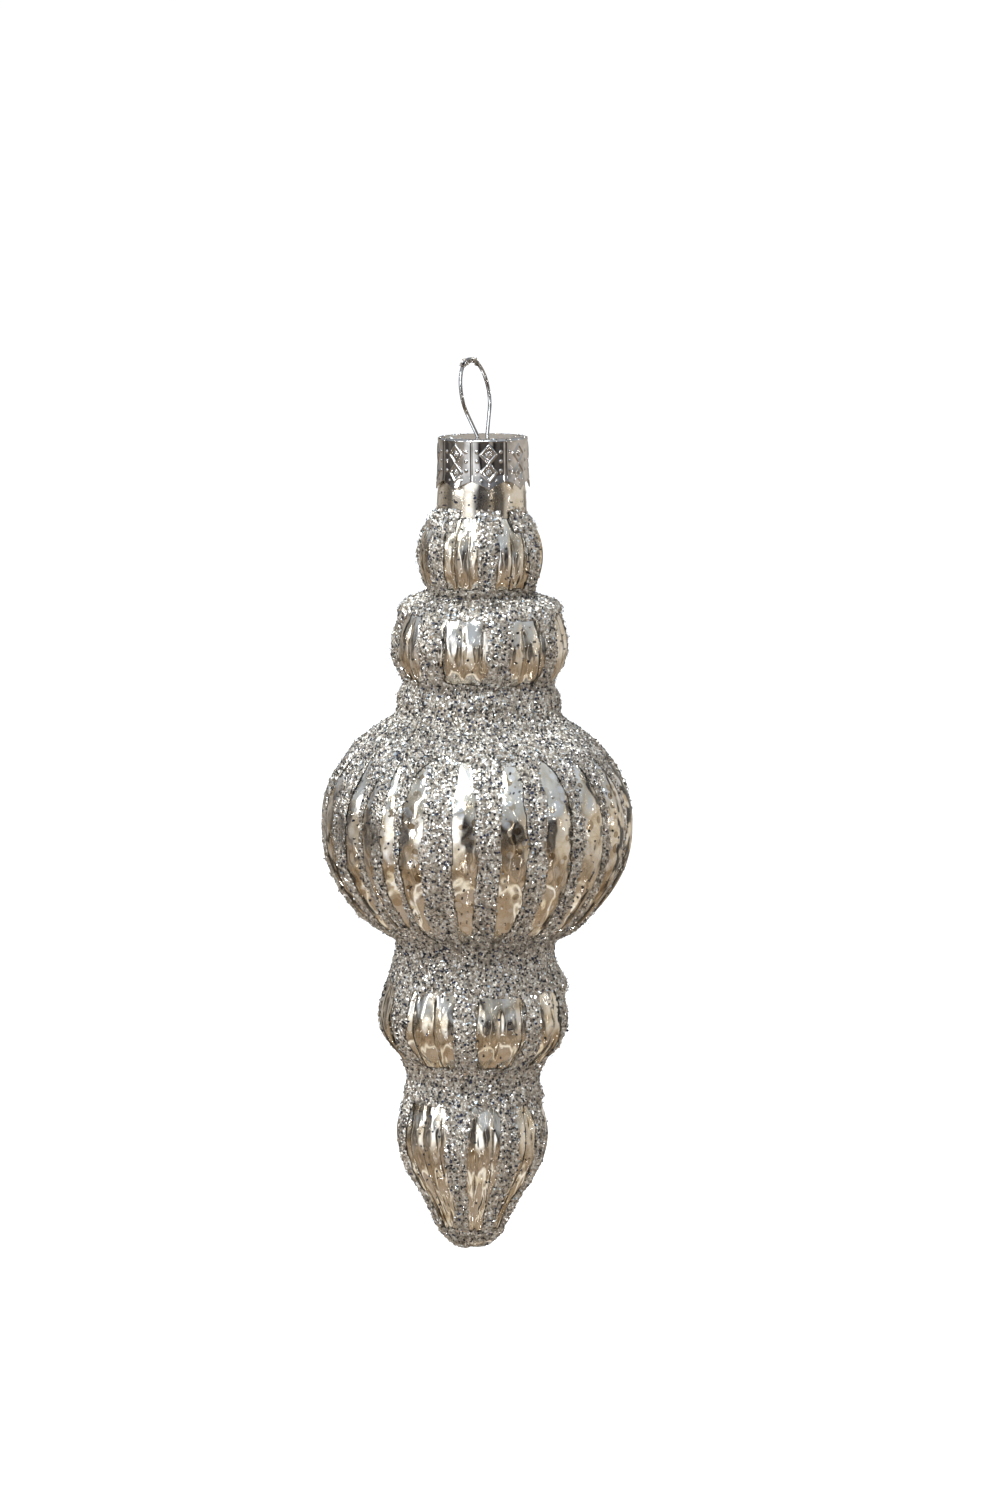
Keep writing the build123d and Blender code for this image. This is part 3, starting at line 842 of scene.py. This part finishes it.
# ---------------------------------------------------------------- light, floor and camera

CAMERA_ELEVATION = 7.8
CAMERA_DISTANCE = 1.287
CAMERA_ROLL = 0.87
LENS = 199.2
AIM_BELOW_TOP, AIM_RIGHT = 0.0488, 0.0031
FLOOR_GAP = 0.05        # the floor is this far below the glass, which hangs clear of it

whole_low, whole_high = bounds_before
MIDDLE = Vector((TOP[0], TOP[1], (whole_low.z + whole_high.z) / 2))
FLOOR_Z = whole_low.z - FLOOR_GAP


def toward(azimuth, elevation):
    """Unit vector at an azimuth to the camera's right and an elevation, in degrees."""
    a, e = math.radians(CAMERA_AZIMUTH + azimuth), math.radians(elevation)
    return Vector((math.sin(a) * math.cos(e), -math.cos(a) * math.cos(e), math.sin(e)))


def softbox(name, azimuth, elevation, distance, width, height, watts, color=(1, 1, 1)):
    light = bpy.data.lights.new(name, "AREA")
    light.shape = "RECTANGLE"
    light.size, light.size_y = width, height
    light.energy = watts
    light.color = color
    obj = bpy.data.objects.new(name, light)
    direction = toward(azimuth, elevation)
    obj.location = MIDDLE + direction * distance
    obj.rotation_mode = "QUATERNION"
    obj.rotation_quaternion = direction.to_track_quat("Z", "Y")
    bpy.context.collection.objects.link(obj)


def mapped(tree, vector, turn=0.0, scale=(1.0, 1.0, 1.0)):
    """A direction turned about Z and scaled."""
    node = tree.nodes.new("ShaderNodeMapping")
    node.inputs["Rotation"].default_value[2] = turn
    node.inputs["Scale"].default_value = scale
    tree.links.new(vector, node.inputs["Vector"])
    return node.outputs["Vector"]


def ground_and_ceiling(tree, direction, level):
    """Colours by level, with tall soft streaks below the horizon, as of legs and a floor."""
    sky = ramp(tree, level, ((0.0, (0.44, 0.35, 0.27)), (0.075, (0.34, 0.27, 0.205)),
                             (0.095, (1.0, 0.94, 0.84)), (0.112, (0.95, 0.89, 0.78)),
                             (0.14, (0.27, 0.205, 0.145)), (0.34, (0.30, 0.235, 0.17)),
                             (0.50, (0.44, 0.42, 0.39)), (0.62, (0.40, 0.425, 0.46)),
                             (0.80, (0.48, 0.52, 0.57)), (1.0, (0.7, 0.75, 0.8))))
    tall = mapped(tree, direction, scale=(1.0, 1.0, 0.22))
    streaks = ramp(tree, noise(tree, tall, 9.0, Detail=3),
                   ((0.36, (0.62, 0.60, 0.58)), (0.50, (1.0, 1.0, 1.0)),
                    (0.60, (1.55, 1.55, 1.55)), (0.72, (2.3, 2.35, 2.4))))
    low = ramp(tree, level, ((0.11, BLACK), (0.16, WHITE), (0.42, WHITE), (0.52, BLACK)))
    return mix(tree, low, sky, streaks, "MULTIPLY")


def horizon_colour(tree, across, ahead):
    """Windows, walls and dark doorways round the horizon.

    The position 0.5 is straight at the camera's side, and a larger one is further to its right.
    """
    around = tree.nodes.new("ShaderNodeMath")
    around.operation = "ARCTAN2"
    tree.links.new(across, around.inputs[0])
    tree.links.new(ahead, around.inputs[1])
    position = remap(tree, around.outputs["Value"], -math.pi, math.pi)
    dark, dim = (0.025, 0.02, 0.02), (0.09, 0.08, 0.075)
    beige, pale, white = (0.46, 0.42, 0.37), (0.68, 0.625, 0.55), (1.35, 1.37, 1.4)
    return ramp(tree, position, ((0.00, beige), (0.14, beige), (0.19, dim), (0.27, dim),
                                 (0.31, beige), (0.36, beige), (0.38, white), (0.455, white),
                                 (0.475, dark), (0.54, dark), (0.553, beige), (0.565, beige),
                                 (0.575, dark), (0.65, dark), (0.675, beige), (0.74, pale),
                                 (0.88, pale), (0.97, beige)))


def world_light():
    """A bright ceiling, a warm dim ground and a horizon of lighter and darker stretches."""
    world = bpy.data.worlds.new("studio")
    bpy.context.scene.world = world
    world.use_nodes = True
    tree = world.node_tree
    facing = toward(0, 0)
    direction = mapped(tree, tree.nodes.new("ShaderNodeTexCoord").outputs["Generated"],
                       turn=-math.atan2(facing.y, facing.x))
    split = tree.nodes.new("ShaderNodeSeparateXYZ")
    tree.links.new(direction, split.inputs["Vector"])
    level = remap(tree, split.outputs["Z"], -1, 1)      # 0 straight down, 0.5 level, 1 straight up
    ground = ground_and_ceiling(tree, direction, level)
    horizon = horizon_colour(tree, split.outputs["Y"], split.outputs["X"])
    shapes = ramp(tree, noise(tree, direction, 5.0, Detail=4), ((0.45, WHITE), (0.62, (0.7, 0.7, 0.7))))
    band = ramp(tree, level, ((0.24, BLACK), (0.45, WHITE), (0.58, WHITE), (0.70, BLACK)))
    share = mix(tree, 1.0, band, shapes, "MULTIPLY")
    background = tree.nodes["Background"]
    tree.links.new(mix(tree, share, ground, horizon), background.inputs["Color"])
    background.inputs["Strength"].default_value = 1.0


def stage_piece(name, verts, faces, material, unseen_by):
    """A piece of the stage, left out of the kinds of ray in unseen_by."""
    me = bpy.data.meshes.new(name)
    me.from_pydata(verts, [], faces)
    me.materials.append(material)
    obj = bpy.data.objects.new(name, me)
    bpy.context.collection.objects.link(obj)
    for kind in unseen_by:
        setattr(obj, "visible_" + kind, False)


def plain_floor():
    reach = 12.0
    m, _, shader = new_material("pale_floor")
    shader["Base Color"].default_value = (0.9, 0.9, 0.9, 1)
    shader["Roughness"].default_value = 0.9
    shader["Specular IOR Level"].default_value = 0.0
    shader["Emission Color"].default_value = (1, 1, 1, 1)
    shader["Emission Strength"].default_value = 0.55
    corners = [(x, y, FLOOR_Z) for x, y in ((-reach, -reach), (reach, -reach), (reach, reach),
                                            (-reach, reach))]
    stage_piece("floor", corners, [(0, 1, 2, 3)], m, ("glossy", "transmission", "shadow"))


def backdrop():
    """A plain white wall round the stage, which only the camera sees."""
    reach, sides = 4.0, 64
    m, _, shader = new_material("white_backdrop")
    shader["Base Color"].default_value = (0, 0, 0, 1)
    shader["Emission Color"].default_value = (1, 1, 1, 1)
    shader["Emission Strength"].default_value = 1.0
    a = np.arange(sides) * 2 * math.pi / sides
    ring = np.stack([reach * np.cos(a), reach * np.sin(a)], 1)
    verts = [(x, y, z) for z in (FLOOR_Z, FLOOR_Z + reach) for x, y in ring]
    stage_piece("backdrop", verts, grid_quads(2, sides, True).tolist(), m,
                ("diffuse", "glossy", "transmission", "volume_scatter", "shadow"))


def camera():
    cam = bpy.data.cameras.new("camera")
    cam.lens = LENS
    cam.sensor_width = 36
    cam.clip_start, cam.clip_end = 0.05, 100
    obj = bpy.data.objects.new("camera", cam)
    bpy.context.collection.objects.link(obj)
    back = toward(0, CAMERA_ELEVATION)
    aim = Vector(TOP) + Vector((0, 0, -AIM_BELOW_TOP)) + toward(90, 0) * AIM_RIGHT
    obj.location = aim + back * CAMERA_DISTANCE
    obj.rotation_mode = "QUATERNION"
    look = (-back).to_track_quat("-Z", "Y")
    obj.rotation_quaternion = look @ Quaternion((0, 0, 1), math.radians(CAMERA_ROLL))
    bpy.context.scene.camera = obj


# small bright lamps that the flakes catch: azimuth and elevation from the camera's side
SPARKLES = ((-40, 35), (18, 48), (-8, 74), (65, 40), (150, 50), (-25, 12), (22, 9), (52, 16),
            (-75, 8), (-130, 25), (100, 14), (175, 12), (-6, 24), (9, 31), (-52, 3), (36, 27),
            (-16, 47), (78, 3), (-95, 40), (125, 35), (-30, -30), (15, -42), (45, -22),
            (-65, -20), (0, -62), (-8, -24), (160, -35), (-140, -30), (90, -40))
SPARKLE_DISTANCE, SPARKLE_SIZE, SPARKLE_WATTS = 1.3, 0.034, 0.26

world_light()
softbox("overhead_softbox", -24, 60, 1.0, 0.72, 0.66, 8.6, (0.86, 0.94, 1.0))
softbox("left_window", -62, 24, 1.0, 0.22, 0.55, 1.7, (0.95, 0.98, 1.0))
for number, (azimuth, elevation) in enumerate(SPARKLES):
    softbox(f"sparkle_{number + 1}", azimuth, elevation, SPARKLE_DISTANCE, SPARKLE_SIZE,
            SPARKLE_SIZE, SPARKLE_WATTS)
plain_floor()
backdrop()
camera()
bpy.context.scene.view_settings.view_transform = "Standard"
